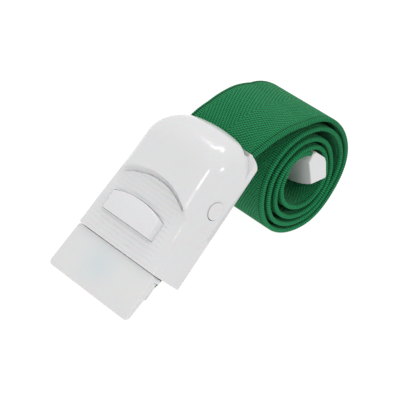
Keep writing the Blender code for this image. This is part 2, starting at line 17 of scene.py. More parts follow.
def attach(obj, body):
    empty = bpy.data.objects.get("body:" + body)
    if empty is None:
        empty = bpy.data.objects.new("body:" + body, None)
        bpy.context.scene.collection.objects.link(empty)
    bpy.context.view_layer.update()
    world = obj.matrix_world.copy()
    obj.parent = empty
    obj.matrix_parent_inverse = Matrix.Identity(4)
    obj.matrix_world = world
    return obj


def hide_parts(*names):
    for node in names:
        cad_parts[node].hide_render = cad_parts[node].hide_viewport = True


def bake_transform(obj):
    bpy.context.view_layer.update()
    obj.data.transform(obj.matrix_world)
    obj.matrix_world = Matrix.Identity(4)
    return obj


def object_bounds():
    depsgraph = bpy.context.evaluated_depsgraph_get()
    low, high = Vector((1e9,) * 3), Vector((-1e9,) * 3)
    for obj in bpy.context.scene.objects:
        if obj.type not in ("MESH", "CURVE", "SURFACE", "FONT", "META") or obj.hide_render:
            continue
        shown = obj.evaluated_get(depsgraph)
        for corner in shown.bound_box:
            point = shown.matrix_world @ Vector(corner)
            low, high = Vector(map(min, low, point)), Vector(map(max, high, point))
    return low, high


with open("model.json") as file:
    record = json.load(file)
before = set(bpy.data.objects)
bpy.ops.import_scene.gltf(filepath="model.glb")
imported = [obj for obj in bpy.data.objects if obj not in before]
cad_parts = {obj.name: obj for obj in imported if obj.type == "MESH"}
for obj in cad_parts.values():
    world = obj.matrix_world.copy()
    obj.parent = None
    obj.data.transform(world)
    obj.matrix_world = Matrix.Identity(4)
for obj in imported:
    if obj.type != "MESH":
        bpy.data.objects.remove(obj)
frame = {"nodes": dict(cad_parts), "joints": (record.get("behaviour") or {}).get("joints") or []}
cad_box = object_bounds()

MM = 0.001
JOINTS = {joint["name"]: joint for joint in frame["joints"]}

# The buckle's frame: where the pivot is in it, and its axes and origin read from the joints
PIVOT_X, PIVOT_Z = 37.8, 5.5
ALONG = -Vector(JOINTS["plug_slide"]["axis"]).normalized()
ACROSS = Vector((0, 1, 0))
UP = ALONG.cross(ACROSS)
ORIGIN = Vector(JOINTS["cover_tilt"]["pos_m"]) - (ALONG * PIVOT_X + UP * PIVOT_Z) * MM

# Shift along x from the coil's frame to the row's, which is centred under the whole part
CENTRING = -41.18

# Cover shell.  ROLL_SAMPLE_X is where the flat top's width is read, to lay out its lines
ROLL_SAMPLE_X = 33.0
SHELL_FRONT, SHELL_REAR, SHELL_HALF = 14.05, 58.2, 17.3
SHELL_HEIGHT, FRONT_ROUND = 14.0, 0.25
ROLL_FRONT, ROLL_HOOD, ROLL_DOME, ROLL_REAR = 4.5, 6.3, 7.4, 8.1
DOME_START, DOME_FOOT, HEEL_RADIUS, HEEL_STEPS, EAR_ROLL = 46.0, 2.1, 2.3, 12, 1.9
REAR_BULGE, TAPER = 2.7, 0.04
GRIP_HEIGHT, GRIP_REAR, GRIP_ARC, GRIP_MIDDLE = 12.0, 37.75, 25.5, 0.5
STEP_RUN, STEP_STEEPNESS, STEP_GROOVE = 1.4, 1.6, 0.32
RIB_END_SOFTNESS, GROOVE_END_SOFTNESS = 0.7, 0.8
RIB_PITCH, RIB_START, RIB_RISE = 1.46, 14.89, 0.2
WALL, ROOF_HEIGHT, LIP_FRONT = 1.6, 10.6, 50.6
SLOT_HALF, SLOT_HEIGHT = 13.0, 4.0
MOUTH_TOP, MOUTH_DEPTH, UNDER = 9.4, 2.2, -3
RIB_HALVES = ((14.4, 14.2), (21.0, 13.5), (26.0, 13.0), (31.0, 12.6), (36.0, 12.6))
STUD_RADIUS, STUD_GAP, STUD_SAG, STUD_EDGE, STUD_DOME = 2.7, 0.12, 0.08, 0.35, 0.3

# Release pad
PAD_FRONT, PAD_SIDE_END, PAD_REAR = 21.2, 27.0, 28.85
PAD_MIDDLE, PAD_HALF, PAD_TOP = 1.25, 11.1, 13.6
PAD_GAP, PAD_FRONT_GAP, PAD_REAR_GAP = 0.04, 0.13, 0.09

# The pad's edge from its foot to its crown, as (inset of the sides, of both ends, height)
PAD_PROFILE = (
    (0.0, 0.0, 9.7), (0.0, 0.0, 12.1), (1.0, 0.0, 13.25),
    (1.1, 0.05, 13.4), (1.3, 0.18, 13.54), (1.6, 0.36, PAD_TOP),
)

# Plug
PLUG_FRONT, PLUG_REAR, PLUG_BOTTOM = -0.55, 13.93, 8.5
CHIN_LENGTH, CHIN_RISE = 4.75, 2.5
SHOULDER_SLOT, SLOT_WIDTH = 12.15, 0.25
SHOULDER_X, SHOULDER_Z, SHOULDER_RADIUS, SHOULDER_HALF = 13.1, 8.4, 0.7, 17.2
PLUG_FRONT_HALF, PLUG_REAR_HALF = 17.6, 16.95
PLUG_FRONT_TOP, PLUG_REAR_TOP = 12.05, 11.45
PLUG_EDGE, CORE_ROUNDING = 0.7, 0.25
TONGUE_HEIGHT, TONGUE_HALF, TONGUE_END = (6.3, 7.7), 6.5, 27.0
RAIL_INNER, RAIL_OUTER, RAIL_FOOT = 12.9, 14.0, 5.0
RAIL_SPAN, TONGUE_ROOT, TONGUE_ROOT_HALF = (6.8, 12.6), (12.2, 17.0), 12.4
WINDOW_SPAN, WINDOW_HALF = (19.0, 21.4), 3.4
LIP_SPAN, LIP_HALF, LIP_TOP = (-0.6, 0.9), 15.2, 10.3

# Strap
STRAP_WIDTH, STRAP_THICK, STRAP_EDGE = 25.0, 1.4, 0.6
SERRATION_PITCH, SERRATION_DEPTH = 0.65, 0.1
LINE_INSET, LINE_SINK = 1.1, 0.12
STRAP_MID = 2.35
STRAP_EXIT = 56.0
STRAP_EXIT_DROP = 1.3

# The strap's middle inside the buckle: its sewn end, its loop round the plug's bar, its run
LOOP_POINTS = (
    (18.0, STRAP_MID + 1.6), (15.0, STRAP_MID + 1.7), (12.8, 4.4), (11.2, 6.8),
    (9.8, 7.6), (8.0, 7.4), (7.3, 5.9), (8.1, 4.2), (10.2, 3.6), (12.6, 2.7),
)
RUN_STATIONS = (15.5, 25.0, 36.0, 48.0)

# Leans are how far the far edge stands above the strap's middle, on the lead and the coil's top
LEAD_LEAN, COIL_LEAN = 1.7, 1.1
LEAN_END, LEAN_RATE = 0.86, 1.3

# The free run to the coil, as (x, z, share of the lean), in the coil's frame
LEAD_POINTS = ((53.0, 34.5, 1.0), (57.2, 35.45, 1.0), (61.5, 35.8, 0.95), (65.0, 35.5, 0.8))

# Coil: distances of the strap's middle from its centre, every eighth of a turn from the top
COIL_X, COIL_Z = 68.0, 17.5
COIL_TURNS = (
    (17.4, 16.7, 16.4, 15.9, 18.0, 18.7, 15.9, 13.7),
    (13.2, 14.1, 14.4, 13.9, 16.0, 16.4, 13.2, 10.6),
    (10.3, 10.5, 10.5, 12.1, 14.0, 13.8, 10.2, 7.9),
    (7.4, 8.2, 8.5, 10.0, 11.3, 10.6, 8.2),
)

# Painted reflection in the middle of the plug's top, a darker and bluer tint: its centre, its
# radius and its colour
PLUG_PAINTED_REFLECTION = ((8.0, 1.8, 11.7), 10.0, (0.56, 0.60, 0.615))

# The strap's end, which turns down into the clip, about the coil's centre
TAIL_POINTS = ((-6.0, 4.2), (-4.4, 5.6), (-1.6, 6.2), (1.2, 6.0), (3.0, 4.4), (4.0, 1.2),
               (4.3, -3.0))

# End clip, about the coil's centre: faces as (depth below it, x), and the corners on top
CLIP_RIGHT = ((-0.8, 7.6), (4.1, 7.9), (6.5, 6.7), (9.0, 4.9))
CLIP_LEFT = ((-4.0, 0.7), (4.4, 1.9), (9.0, 2.6))
CLIP_CREST = ((2.3, 5.5), (3.6, 5.8), (7.1, 2.5))
CLIP_HALF, CLIP_FOOT, CLIP_ARC = 13.0, -8.8, 4.2

# Weave: the chevron's rib pitch and slope, its stitches, and the plain selvedge's cross pitch
WEAVE_PITCH, WEAVE_SLOPE, STITCH_PITCH, SELVEDGE_PITCH = 1.0, 0.6, 0.62, 0.55
SELVEDGE = (2.2, 2.8)

# Colours
HOUSING_WHITE, PAD_WHITE = (0.635, 0.635, 0.64), (0.655, 0.655, 0.67)
PLUG_WHITE, INNER_WHITE = (0.63, 0.635, 0.635), (0.60, 0.60, 0.59)
STEEL_LIGHT, STEEL_DARK = (0.62, 0.62, 0.64, 1), (0.50, 0.50, 0.52, 1)
YARN_BRIGHT, YARN_SOFT = (0.012, 0.275, 0.098, 1), (0.009, 0.230, 0.078, 1)
# Painted shade: the dark colour given to the weave's grooves and sunk lines
YARN_GROOVE_SHADE = (0.003, 0.066, 0.021, 1)

# Camera, which stands nearly square to the buckle's length
VIEW_AZIMUTH, VIEW_ELEVATION = -40.0, 34.4
VIEW_DISTANCE, VIEW_LENS = 549.0, 173.6
LIGHT_DISTANCE = 0.8
TENT_LEVEL, FLOOR_ALBEDO, FLOOR_GLOW = 0.945, 0.12, 0.96

# Lamps as (name, direction, size in metres, radiance)
LAMPS = (
    ("key", (-0.61, -0.35, 0.71), (0.06, 0.06), 32.0),
    ("near_lamp", (0.12, -0.79, 0.60), (0.15, 0.05), 22.0),
    ("front_panel", (-1.0, -0.2, 0.06), (0.5, 0.3), 1.7),
    ("rear_lamp", (0.44, 0.36, 0.80), (0.42, 0.12), 5.0),
    ("dome_lamp", (0.54, 0.10, 0.83), (0.12, 0.12), 12.0),
)
VIEW_TARGET = (38.5 + CENTRING, -0.25, 14.65)


# Mesh helpers

def buckle_matrix():
    """Millimetres in the buckle's frame to metres in the row's frame."""
    matrix = Matrix((ALONG, ACROSS, UP)).transposed().to_4x4() @ Matrix.Scale(MM, 4)
    matrix.translation = ORIGIN
    return matrix


def ground_matrix():
    """Millimetres in the coil's frame to metres in the row's frame."""
    matrix = Matrix.Scale(MM, 4)
    matrix.translation = Vector((CENTRING, 0, 0)) * MM
    return matrix


BUCKLE = buckle_matrix()
GROUND = ground_matrix()


def grid_mesh(rows, closed=True, caps=True):
    """Skin rows of points into quads, closing each row on itself and capping both ends."""
    bm = bmesh.new()
    made = [[bm.verts.new(point) for point in row] for row in rows]
    count = len(made[0])
    for low, high in zip(made, made[1:]):
        for i in range(count if closed else count - 1):
            j = (i + 1) % count
            bm.faces.new((low[i], low[j], high[j], high[i]))
    if caps:
        bm.faces.new(made[0])
        bm.faces.new(made[-1])
    return bm


def piece(name, bm, material, body=None, place=BUCKLE, hides=(), sharp=32):
    """Make a smooth-shaded object of a millimetre bmesh, and give it its body."""
    bmesh.ops.recalc_face_normals(bm, faces=bm.faces)
    bm.transform(place)
    mesh = bpy.data.meshes.new(name)
    bm.to_mesh(mesh)
    bm.free()
    mesh.shade_smooth()
    mesh.set_sharp_from_angle(angle=math.radians(sharp))
    mesh.materials.append(material)
    obj = bpy.data.objects.new(name, mesh)
    bpy.context.scene.collection.objects.link(obj)
    if body:
        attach(obj, body)
    if hides:
        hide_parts(*hides)
    return obj


def cut(target, tools, operation="DIFFERENCE"):
    """Cut millimetre bmeshes in the buckle's frame from target, or weld them on, and apply."""
    for bm in tools:
        bmesh.ops.recalc_face_normals(bm, faces=bm.faces)
        bm.transform(BUCKLE)
        mesh = bpy.data.meshes.new("cutter")
        bm.to_mesh(mesh)
        bm.free()
        cutter = bpy.data.objects.new("cutter", mesh)
        bpy.context.scene.collection.objects.link(cutter)
        modifier = target.modifiers.new("cut", "BOOLEAN")
        modifier.operation = operation
        modifier.solver = "EXACT"
        modifier.object = cutter
        apply_modifiers(target)
        bpy.data.objects.remove(cutter)


def apply_modifiers(obj):
    """Replace the object's mesh by its evaluated one."""
    graph = bpy.context.evaluated_depsgraph_get()
    mesh = bpy.data.meshes.new_from_object(obj.evaluated_get(graph))
    obj.modifiers.clear()
    old = obj.data
    obj.data = mesh
    bpy.data.meshes.remove(old)


def round_edges(obj, width):
    """Round the object's sharp edges."""
    bevel = obj.modifiers.new("round", "BEVEL")
    bevel.width = width * MM
    bevel.segments = 3
    bevel.limit_method = "ANGLE"
    bevel.angle_limit = math.radians(28)
    apply_modifiers(obj)


def ramp(x, knots):
    """Read a value at x from (x, value) knots, in straight lines between them."""
    if x <= knots[0][0]:
        return knots[0][1]
    for (x0, v0), (x1, v1) in zip(knots, knots[1:]):
        if x <= x1:
            return v0 + (v1 - v0) * (x - x0) / (x1 - x0)
    return knots[-1][1]


def ease(t):
    """Smooth step from 0 to 1."""
    t = min(max(t, 0.0), 1.0)
    return t * t * (3 - 2 * t)


def block(x_range, y_range, z_range):
    """A rectangular block given by its ranges."""
    rows = []
    for z in z_range:
        rows.append([(x_range[0], y_range[0], z), (x_range[1], y_range[0], z),
                     (x_range[1], y_range[1], z), (x_range[0], y_range[1], z)])
    return grid_mesh(rows)


def plan_prism(outline, low, high):
    """Extrude an outline of (x, y) points upwards."""
    return grid_mesh([[(x, y, z) for x, y in outline] for z in (low, high)])


def cross_turning(x, z, profile, sides=48):
    """Turn a profile of (radius, y) points about an axis across the buckle."""
    rows = []
    for radius, y in profile:
        angles = [2 * math.pi * i / sides for i in range(sides)]
        rows.append([(x + radius * math.cos(a), y, z + radius * math.sin(a)) for a in angles])
    return grid_mesh(rows)


# Material helpers

class Nodes:
    """A short way to write a material's node tree."""

    def __init__(self, name):
        self.material = bpy.data.materials.new(name)
        self.material.use_nodes = True
        self.tree = self.material.node_tree
        self.shader = self.tree.nodes["Principled BSDF"]

    def link(self, socket, value):
        if isinstance(value, bpy.types.NodeSocket):
            self.tree.links.new(value, socket)
        else:
            socket.default_value = value

    def add(self, kind, output=0, settings=(), **inputs):
        node = self.tree.nodes.new(kind)
        for key, value in dict(settings).items():
            setattr(node, key, value)
        for key, value in inputs.items():
            place = int(key[1:]) if key[1:].isdigit() else key.replace("_", " ")
            self.link(node.inputs[place], value)
        return node.outputs[output]

    def math(self, operation, *values):
        inputs = {f"_{i}": value for i, value in enumerate(values)}
        return self.add("ShaderNodeMath", settings={"operation": operation}, **inputs)

    def noise(self, vector, scale, detail=3.0):
        return self.add("ShaderNodeTexNoise", 0, Vector=vector, Scale=scale, Detail=detail)

    def mix(self, factor, first, second):
        node = self.tree.nodes.new("ShaderNodeMix")
        node.data_type = "RGBA"
        self.link(node.inputs[0], factor)
        self.link(node.inputs[6], first)
        self.link(node.inputs[7], second)
        return node.outputs[2]

    def smooth(self, value, low, high):
        return self.add("ShaderNodeMapRange", settings={"interpolation_type": "SMOOTHSTEP"},
                        Value=value, From_Min=low, From_Max=high)

    def bump(self, height, strength, distance):
        return self.add("ShaderNodeBump", Strength=strength, Distance=distance, Height=height)

    def set(self, **inputs):
        for key, value in inputs.items():
            self.link(self.shader.inputs[key.replace("_", " ")], value)


def plastic(name, colour, roughness, painted_reflection=None):
    """Moulded gloss plastic: faint flow marks in the colour and a very fine ripple.

    A painted reflection is a darker, bluer tint that fades out from a place, standing in for a
    reflection: (buckle point, radius, colour).
    """
    nodes = Nodes(name)
    place = nodes.add("ShaderNodeTexCoord", 3)
    cloud = nodes.noise(place, 90.0, 2.0)
    grain = nodes.noise(place, 1400.0, 2.0)
    darker = [value * 0.96 for value in colour[:3]] + [1.0]
    base = nodes.mix(cloud, (*colour[:3], 1.0), darker)
    # Painted reflection: a darker, bluer patch mixed into the base colour, fading out from a point
    if painted_reflection:
        point, radius, reflection_colour = painted_reflection
        shift = nodes.add("ShaderNodeVectorMath", 1, {"operation": "DISTANCE"}, _0=place,
                          _1=BUCKLE @ Vector(point))
        base = nodes.mix(nodes.smooth(shift, radius * MM, 0.0), base, (*reflection_colour, 1.0))
    nodes.set(Base_Color=base)
    nodes.set(Roughness=nodes.add("ShaderNodeMapRange", Value=grain, To_Min=roughness - 0.05,
                                  To_Max=roughness + 0.06))
    nodes.set(Specular_IOR_Level=0.5, Coat_Weight=0.3, Coat_Roughness=0.12)
    nodes.set(Subsurface_Weight=0.12, Subsurface_Scale=0.002)
    nodes.set(Normal=nodes.bump(cloud, 0.12, 0.0006))
    return nodes.material


def steel(name):
    """Spring steel with fine drawing lines."""
    nodes = Nodes(name)
    place = nodes.add("ShaderNodeTexCoord", 3)
    stretched = nodes.add("ShaderNodeMapping", Vector=place, Scale=(400.0, 9000.0, 9000.0))
    lines = nodes.noise(stretched, 1.0, 2.0)
    nodes.set(Base_Color=nodes.mix(lines, STEEL_LIGHT, STEEL_DARK))
    nodes.set(Metallic=1.0)
    nodes.set(Roughness=nodes.add("ShaderNodeMapRange", Value=lines, To_Min=0.22, To_Max=0.38))
    nodes.set(Normal=nodes.bump(lines, 0.1, 0.0001))
    return nodes.material


def webbing(name):
    """Green elastic twill.  The UV map holds millimetres: u along the strap, v across it.

    Diagonal ribs meet in a chevron, each rib is a row of short stitches, and a plain selvedge
    with a sunk line runs down both edges. Low parts of the weave are painted darker, as shade.
    """
    nodes = Nodes(name)
    uv = nodes.add("ShaderNodeUVMap")
    split = nodes.add("ShaderNodeSeparateXYZ", Vector=uv).node
    u, v = split.outputs[0], split.outputs[1]
    place = nodes.add("ShaderNodeTexCoord", 3)
    wobble = nodes.math("SUBTRACT", nodes.noise(place, 260.0, 2.0), 0.5)
    u_wavy = nodes.math("ADD", u, nodes.math("MULTIPLY", wobble, 1.1))
    v_wavy = nodes.math("ADD", v, nodes.math("MULTIPLY", wobble, 0.5))

    turn = nodes.math("PINGPONG", v_wavy, STRAP_WIDTH / 2)
    phase = nodes.math("ADD", nodes.math("MULTIPLY", u_wavy, WEAVE_SLOPE), turn)
    rib = nodes.math("SINE", nodes.math("MULTIPLY", phase, 2 * math.pi / WEAVE_PITCH))
    rib_number = nodes.math("FLOOR", nodes.math("DIVIDE", phase, WEAVE_PITCH))
    stitch_phase = nodes.math("ADD", nodes.math("DIVIDE", u, STITCH_PITCH),
                              nodes.math("MULTIPLY", rib_number, 0.5))
    stitch = nodes.math("SINE", nodes.math("MULTIPLY", stitch_phase, 2 * math.pi))
    field = nodes.math("ADD", nodes.math("MULTIPLY", rib, 0.65),
                       nodes.math("MULTIPLY", stitch, 0.6))

    fine = nodes.math("SINE", nodes.math("MULTIPLY", u, 2 * math.pi / SERRATION_PITCH))
    cross = nodes.math("SINE", nodes.math("MULTIPLY", v, 2 * math.pi / SELVEDGE_PITCH))
    plain = nodes.math("ADD", nodes.math("MULTIPLY", fine, 0.8),
                       nodes.math("MULTIPLY", cross, 0.30))

    from_edge = nodes.math("MINIMUM", v, nodes.math("SUBTRACT", STRAP_WIDTH, v))
    inside = nodes.smooth(from_edge, *SELVEDGE)
    weave = nodes.math("ADD", nodes.math("MULTIPLY", field, inside),
                       nodes.math("MULTIPLY", plain, nodes.math("SUBTRACT", 1.0, inside)))
    groove = nodes.math("ABSOLUTE", nodes.math("SUBTRACT", from_edge, LINE_INSET))
    sunk = nodes.math("SUBTRACT", 1.0, nodes.smooth(groove, 0.05, 0.35))
    height = nodes.math("SUBTRACT", weave, nodes.math("MULTIPLY", sunk, 1.2))

    fuzz = nodes.noise(place, 2600.0, 3.0)
    # Painted shade: the low parts of the weave take the dark groove colour
    level = nodes.smooth(nodes.math("ADD", height, nodes.math("MULTIPLY", fuzz, 0.7)), -0.6, 1.1)
    patch = nodes.noise(place, 60.0, 2.0)
    bright = nodes.mix(patch, YARN_BRIGHT, YARN_SOFT)
    nodes.set(Base_Color=nodes.mix(level, YARN_GROOVE_SHADE, bright))
    nodes.set(Roughness=0.9, Specular_IOR_Level=0.12)
    nodes.set(Sheen_Weight=0.2, Sheen_Roughness=0.45)
    nodes.shader.inputs["Sheen Tint"].default_value = (0.35, 0.95, 0.55, 1.0)
    nodes.set(Normal=nodes.bump(nodes.math("ADD", height, nodes.math("MULTIPLY", fuzz, 0.5)),
                                0.8, 0.00022))
    return nodes.material


# Cover shell

def grip_edge(y):
    """Where the hood's step reaches the top, at a distance y from the middle."""
    y = min(abs(y - GRIP_MIDDLE), GRIP_ARC * 0.98)
    return GRIP_REAR - GRIP_ARC + math.sqrt(GRIP_ARC ** 2 - y * y)


def step_foot(y):
    """Where the hood's step meets the ribbed thumb area."""
    return grip_edge(y) - STEP_RUN


def shell_roll(x):
    """Radius that rolls the long edges over."""
    return ramp(x, ((SHELL_FRONT, ROLL_FRONT), (30.0, ROLL_HOOD), (40.0, ROLL_DOME)))


def rear_roll(z):
    """Radius of the rolled edge down the dome, which leaves the heel standing out as ears."""
    return ramp(z, ((8.0, ROLL_REAR), (SHELL_HEIGHT, ROLL_DOME)))


def top_stations(y):
    """x of the lines across the top: close over the ribs and the step, wider behind."""
    foot, edge = step_foot(y), grip_edge(y)
    front = [SHELL_FRONT + FRONT_ROUND * (1 - math.cos(math.pi / 2 * i / 4)) for i in range(5)]
    ribs = list(np.linspace(front[-1], foot, 150)[1:])
    step = list(np.linspace(foot, edge, 11)[1:])
    return front + ribs + step + list(np.linspace(edge, DOME_START, 26)[1:])


def outline_samples(y):
    """Side view at y as (x, z, inward x, inward z, roll), from the front over to the heel."""
    samples = [(SHELL_FRONT, 0.0, 0.0, 0.0, 0.0)]
    samples += [(SHELL_FRONT, GRIP_HEIGHT * share, 0.0, 0.0, 0.0) for share in (0.25, 0.5)]
    for x in top_stations(y):
        samples.append((x, SHELL_HEIGHT, 0.0, -1.0, shell_roll(x)))
    across, down = SHELL_REAR - DOME_START, SHELL_HEIGHT - DOME_FOOT
    limit = math.acos((HEEL_RADIUS - DOME_FOOT) / down)
    steps = 48
    for i in range(1, steps + 1):
        sine, cosine = math.sin(limit * i / steps), math.cos(limit * i / steps)
        inward = Vector((-sine / across, -cosine / down)).normalized()
        z = DOME_FOOT + down * cosine
        samples.append((DOME_START + across * sine, z, *inward, rear_roll(z)))
    rear = samples[-1][0]
    for i in range(1, HEEL_STEPS + 1):
        turn = math.pi / 2 * i / HEEL_STEPS
        sine, cosine = math.sin(turn), math.cos(turn)
        samples.append((rear - HEEL_RADIUS * (1 - cosine), HEEL_RADIUS * (1 - sine),
                        -cosine, sine, EAR_ROLL * cosine))
    return samples


def shape_shell(x, y, z):
    """Give a shell point the plan bulge of the rear and the taper."""
    if x > DOME_START:
        x -= REAR_BULGE * (y / SHELL_HALF) ** 2 * (x - DOME_START) / (SHELL_REAR - DOME_START)
    y *= 1 - TAPER * (x - SHELL_FRONT) / (SHELL_REAR - SHELL_FRONT)
    return x, y, z


def rib_end(x):
    """Half-length of the ribs, which stop short of the rolled edges."""
    return ramp(x, RIB_HALVES)


def rib_share(x, y):
    """How much of a rib stands at y: 1 along it, fading to 0 past its end."""
    return ease((rib_end(x) - abs(y - GRIP_MIDDLE)) / RIB_END_SOFTNESS + 0.5)


def groove_share(x, y):
    """How much of the groove at the step's foot is there at y, fading out past the ribs."""
    return ease((rib_end(x) + 0.6 - abs(y - GRIP_MIDDLE)) / GROOVE_END_SOFTNESS)


def ribbed(x, y):
    """Height of the thumb area: flat-topped ribs across the buckle with rounded ends."""
    wave = abs(math.sin(math.pi * (x - RIB_START) / RIB_PITCH)) ** 0.5
    return GRIP_HEIGHT + RIB_RISE * wave * rib_share(x, y)


def lower_into_grip(x, y, z):
    """Drop a point of the top to the ribbed area in front of the hood's step."""
    foot, edge = step_foot(y), grip_edge(y)
    if x > edge:
        return z
    floor = ribbed(x, y)
    if x > foot:
        sunk = GRIP_HEIGHT - STEP_GROOVE * groove_share(x, y)
        share = ((x - foot) / (edge - foot)) ** STEP_STEEPNESS
        return min(z, sunk + (z - sunk) * share)
    return min(z, floor)


def round_front(x, z):
    """Ease the front rim of the top over."""
    ahead = max(SHELL_FRONT + FRONT_ROUND - x, 0.0)
    return z - (FRONT_ROUND - math.sqrt(max(FRONT_ROUND ** 2 - ahead ** 2, 0.0)))


def outer_ring(angle, share, guess):
    """One ring of the shell's outside, at an angle round the rolled edge.

    The share runs from 1 to -1 across the top.  The guess is the ring's y, for its lines.
    """
    ring = []
    for x, z, inward_x, inward_z, roll in outline_samples(guess):
        inset = roll * (1 - math.sin(angle))
        y = (SHELL_HALF - roll * (1 - math.cos(angle))) * share
        px, py, pz = shape_shell(x + inset * inward_x, y, z + inset * inward_z)
        if inward_z == -1.0:
            pz = round_front(px, lower_into_grip(px, py, pz))
        ring.append((px, py, pz))
    return ring


def inner_ring(angle, share):
    """One ring of the hollow: the outside moved in by the wall, flat under the roof."""
    ring = []
    front = SHELL_FRONT + WALL
    samples = outline_samples(0.0)[:-HEEL_STEPS]
    samples = [sample for sample in samples[::8] if sample[0] > front + 1.5] + samples[-1:]
    samples.insert(0, (front, SHELL_HEIGHT, 0.0, -1.0, ROLL_FRONT))
    for x, z, inward_x, inward_z, roll in samples:
        reach = roll - WALL
        inset = reach * (1 - math.sin(angle)) + WALL
        y = (SHELL_HALF - WALL - reach * (1 - math.cos(angle))) * share
        if inward_z < -0.5:
            z = min(z, ROOF_HEIGHT + WALL)
        ring.append(shape_shell(x + inset * inward_x, y, z + inset * inward_z))
    x, y, z = ring[-1]
    lip = min(LIP_FRONT, x - 0.3)
    return ring + [(lip, y, z), (lip, y, -2.0), (front, y, -2.0)]


def pad_outline(side=0.0, front=0.0, rear=0.0, steps=24):
    """Plan of the release pad, let out by these margins: straight front and sides, round rear."""
    half = PAD_HALF + side
    sagitta = PAD_REAR - PAD_SIDE_END
    radius = (half ** 2 + sagitta ** 2) / (2 * sagitta)
    limit = math.asin(half / radius)
    outline = [(PAD_FRONT - front, PAD_MIDDLE - half)]
    for i in range(steps + 1):
        angle = limit * (2 * i / steps - 1)
        outline.append((PAD_REAR + rear - radius * (1 - math.cos(angle)),
                        PAD_MIDDLE + radius * math.sin(angle)))
    outline.append((PAD_FRONT - front, PAD_MIDDLE + half))
    return outline


def make_cover(material):
    """The cover: rolled shell with a ribbed thumb area, a hood with a round step and a hollow."""
    steps = 14
    stations = [(math.pi / 2 * i / steps, 1.0) for i in range(steps + 1)]
    across = 110
    flat = [(math.pi / 2, 1 - 2 * i / across) for i in range(1, across)]
    stations += flat + [(angle, -1.0) for angle, _ in reversed(stations)]
    rows = []
    for angle, share in stations:
        guess = (SHELL_HALF - shell_roll(ROLL_SAMPLE_X) * (1 - math.cos(angle))) * share
        rows.append(outer_ring(angle, share, guess))
    cover = piece("cover_body", grid_mesh(rows), material, sharp=40)
    inner_stations = [(math.pi / 2 * i / 5, 1.0) for i in range(6)] + [(math.pi / 2, 0.0)]
    inner_stations += [(angle, -1.0) for angle, _ in reversed(inner_stations[:-1])]
    hollow = grid_mesh([inner_ring(angle, share) for angle, share in inner_stations])
    inner = SHELL_HALF - WALL - 0.1
    tools = [
        hollow,
        block((10, SHELL_FRONT + MOUTH_DEPTH), (-inner, inner), (UNDER, MOUTH_TOP)),
        block((50, 62), (-SLOT_HALF, SLOT_HALF), (UNDER, SLOT_HEIGHT)),
        plan_prism(pad_outline(PAD_GAP, PAD_FRONT_GAP, PAD_REAR_GAP), 8, 16),
        cross_turning(PIVOT_X, PIVOT_Z, [(STUD_RADIUS + STUD_GAP, y) for y in (-20, 20)]),
    ]
    cut(cover, tools)
    cover.data.shade_smooth()
    cover.data.set_sharp_from_angle(angle=math.radians(36))
    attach(cover, "cover")
    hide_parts("cover_shell")


# Release pad, studs and plug

def make_pad(material):
    """The release pad: a flat crown, sides that slope up to it and a softly rounded rim."""
    rings = [[(x, y, z) for x, y in pad_outline(-slope, -rim, -rim)]
             for slope, rim, z in PAD_PROFILE]
    piece("release_pad_body", grid_mesh(rings), material, "button",
          hides=("release_pad",), sharp=50)


def make_studs(material):
    """The pivot's two round ends, which stand a little proud with domed faces."""
    wall = SHELL_HALF * (1 - TAPER * (PIVOT_X - SHELL_FRONT) / (SHELL_REAR - SHELL_FRONT))
    edge = [(STUD_RADIUS - STUD_EDGE * (1 - math.cos(math.pi / 2 * i / 5)),
             wall + 0.05 + STUD_EDGE * math.sin(math.pi / 2 * i / 5)) for i in range(6)]
    face = [(2.0 * (1 - i / 6), wall + 0.4 + STUD_DOME * (1 - (1 - i / 6) ** 2))
            for i in range(1, 6)]
    end = [(1.2, 0.0), (1.2, 14.3), (STUD_RADIUS, 14.3)] + edge + face + [(0.02, wall + 0.7)]
    full = [(r, -y) for r, y in reversed(end[1:])] + end[1:]
    studs = cross_turning(PIVOT_X + STUD_SAG, PIVOT_Z - STUD_SAG, full)
    piece("pivot_studs", studs, material, "base", hides=("pivot_pin",), sharp=40)


def plug_outline(inset, steps=8):
    """Plan of the plug's cap, drawn in most at the front: it widens forwards, corners round."""
    outline = []
    side_inset, rear_inset = inset * 0.5, inset * 0.15
    corners = ((PLUG_REAR - rear_inset, 1, 0, 1.0, PLUG_REAR_HALF),
               (PLUG_FRONT + inset, 1, 90, 1.3, PLUG_FRONT_HALF),
               (PLUG_FRONT + inset, -1, 180, 1.3, PLUG_FRONT_HALF),
               (PLUG_REAR - rear_inset, -1, 270, 1.0, PLUG_REAR_HALF))
    for x, side, start, radius, half in corners:
        radius = max(radius - side_inset, 0.3)
        cx = x + radius * (1 if start in (90, 180) else -1)
        cy = side * (half - side_inset - radius)
        for i in range(steps + 1):
            angle = math.radians(start + 90 * i / steps)
            outline.append((cx + radius * math.cos(angle), cy + radius * math.sin(angle)))
    return outline


def plug_bottom(x):
    """Underside of the cap at x, which curves up to the front."""
    ahead = min(max((PLUG_FRONT + CHIN_LENGTH - x) / CHIN_LENGTH, 0.0), 1.0)
    return PLUG_BOTTOM + CHIN_RISE * math.sin(math.pi / 2 * ahead)


